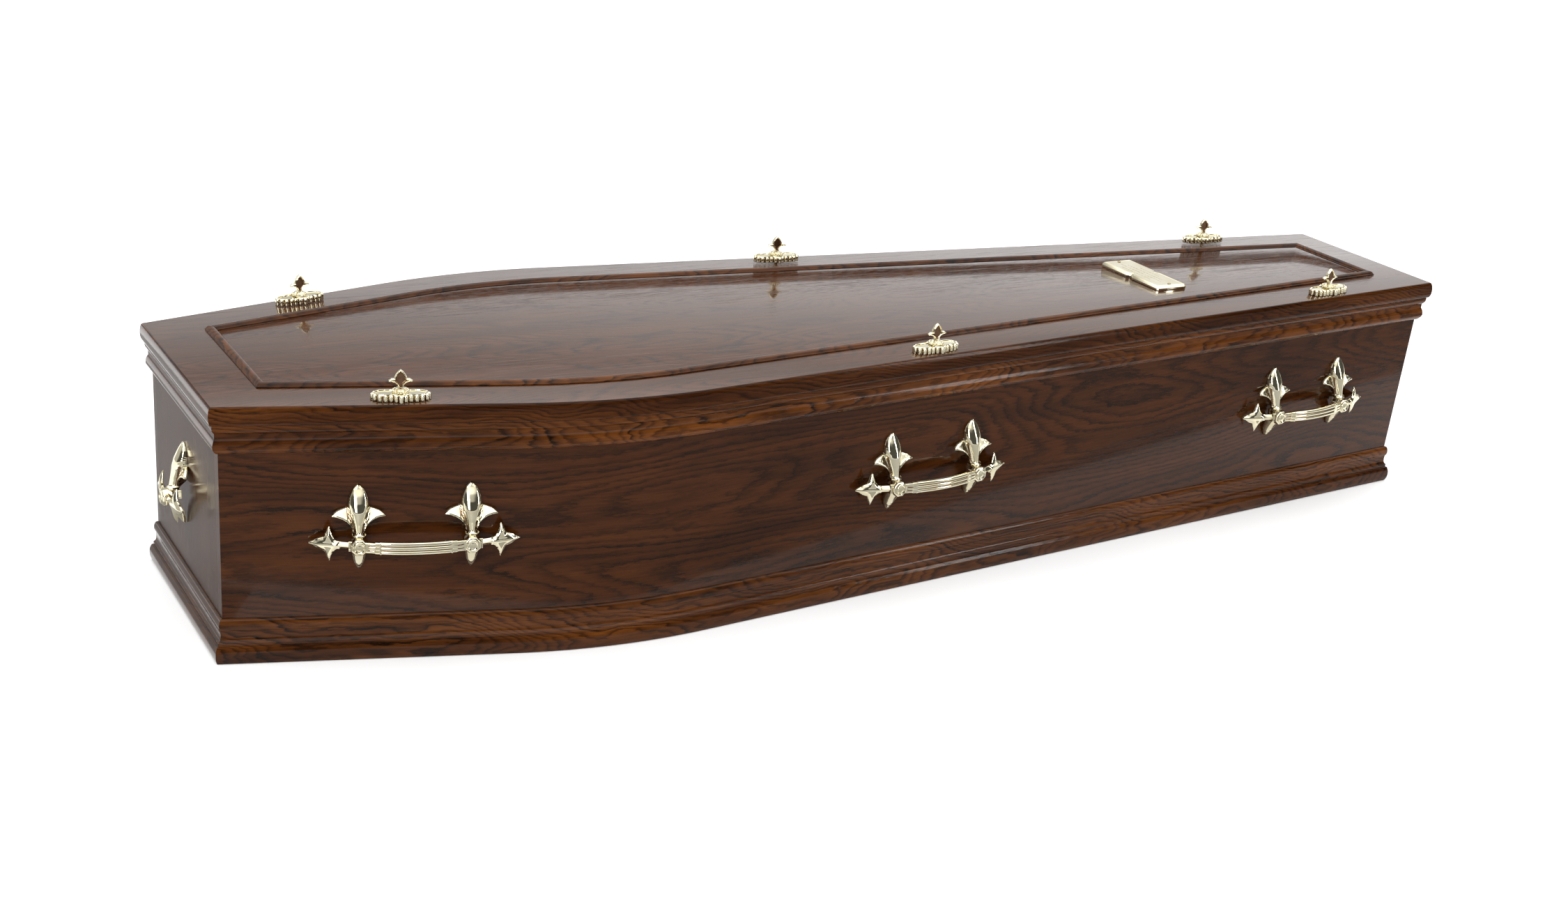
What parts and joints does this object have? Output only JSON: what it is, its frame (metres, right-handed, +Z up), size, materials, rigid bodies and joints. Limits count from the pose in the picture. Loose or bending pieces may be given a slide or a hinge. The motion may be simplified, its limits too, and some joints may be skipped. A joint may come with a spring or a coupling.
{
  "type": "wooden coffin",
  "caption": "Shouldered wooden coffin with raised lid, stepped mouldings, bowed brass handles, thumb-screw lid fittings and a name plate.",
  "frame": {"origin": "middle of the underside, halfway along the lid and on the centre line", "axes": "X along the coffin from the head end to the foot end, Y across, +Z up"},
  "size_m": [1.993, 0.6102, 0.3791],
  "materials": {
    "veneered_board": "dark stained oak veneer under a high-gloss lacquer",
    "moulding": "dark stained hardwood moulding under a high-gloss lacquer",
    "raw_board": "plain unlacquered board",
    "brass_fitting": "pale polished electro-brass"
  },
  "bodies": {
    "root": {"floor_board": "raw_board", "side_board_near": "veneered_board", "side_board_far": "veneered_board", "head_board": "veneered_board", "foot_board": "veneered_board", "base_moulding_near": "moulding", "base_moulding_far": "moulding", "base_moulding_head": "moulding", "base_moulding_foot": "moulding", "frieze_moulding_near": "moulding", "frieze_moulding_far": "moulding", "frieze_moulding_head": "moulding", "frieze_moulding_foot": "moulding", "lid_board": "veneered_board", "lid_bead_near": "moulding", "lid_bead_far": "moulding", "lid_bead_head": "moulding", "lid_bead_foot": "moulding", "handle_near_head_bracket_a": "brass_fitting", "handle_near_head_bracket_b": "brass_fitting", "handle_near_head_bar": "brass_fitting", "handle_near_middle_bracket_a": "brass_fitting", "handle_near_middle_bracket_b": "brass_fitting", "handle_near_middle_bar": "brass_fitting", "handle_near_foot_bracket_a": "brass_fitting", "handle_near_foot_bracket_b": "brass_fitting", "handle_near_foot_bar": "brass_fitting", "handle_far_head_bracket_a": "brass_fitting", "handle_far_head_bracket_b": "brass_fitting", "handle_far_head_bar": "brass_fitting", "handle_far_middle_bracket_a": "brass_fitting", "handle_far_middle_bracket_b": "brass_fitting", "handle_far_middle_bar": "brass_fitting", "handle_far_foot_bracket_a": "brass_fitting", "handle_far_foot_bracket_b": "brass_fitting", "handle_far_foot_bar": "brass_fitting", "end_fitting_head_bracket": "brass_fitting", "end_fitting_head_bar": "brass_fitting", "end_fitting_foot_bracket": "brass_fitting", "end_fitting_foot_bar": "brass_fitting", "screw_plate_near_head": "brass_fitting", "lid_screw_near_head": "brass_fitting", "screw_plate_near_middle": "brass_fitting", "lid_screw_near_middle": "brass_fitting", "screw_plate_near_foot": "brass_fitting", "lid_screw_near_foot": "brass_fitting", "screw_plate_far_head": "brass_fitting", "lid_screw_far_head": "brass_fitting", "screw_plate_far_middle": "brass_fitting", "lid_screw_far_middle": "brass_fitting", "screw_plate_far_foot": "brass_fitting", "lid_screw_far_foot": "brass_fitting", "name_plate": "brass_fitting", "name_plate_pin_1": "brass_fitting", "name_plate_pin_2": "brass_fitting"}
  },
  "joints": []
}
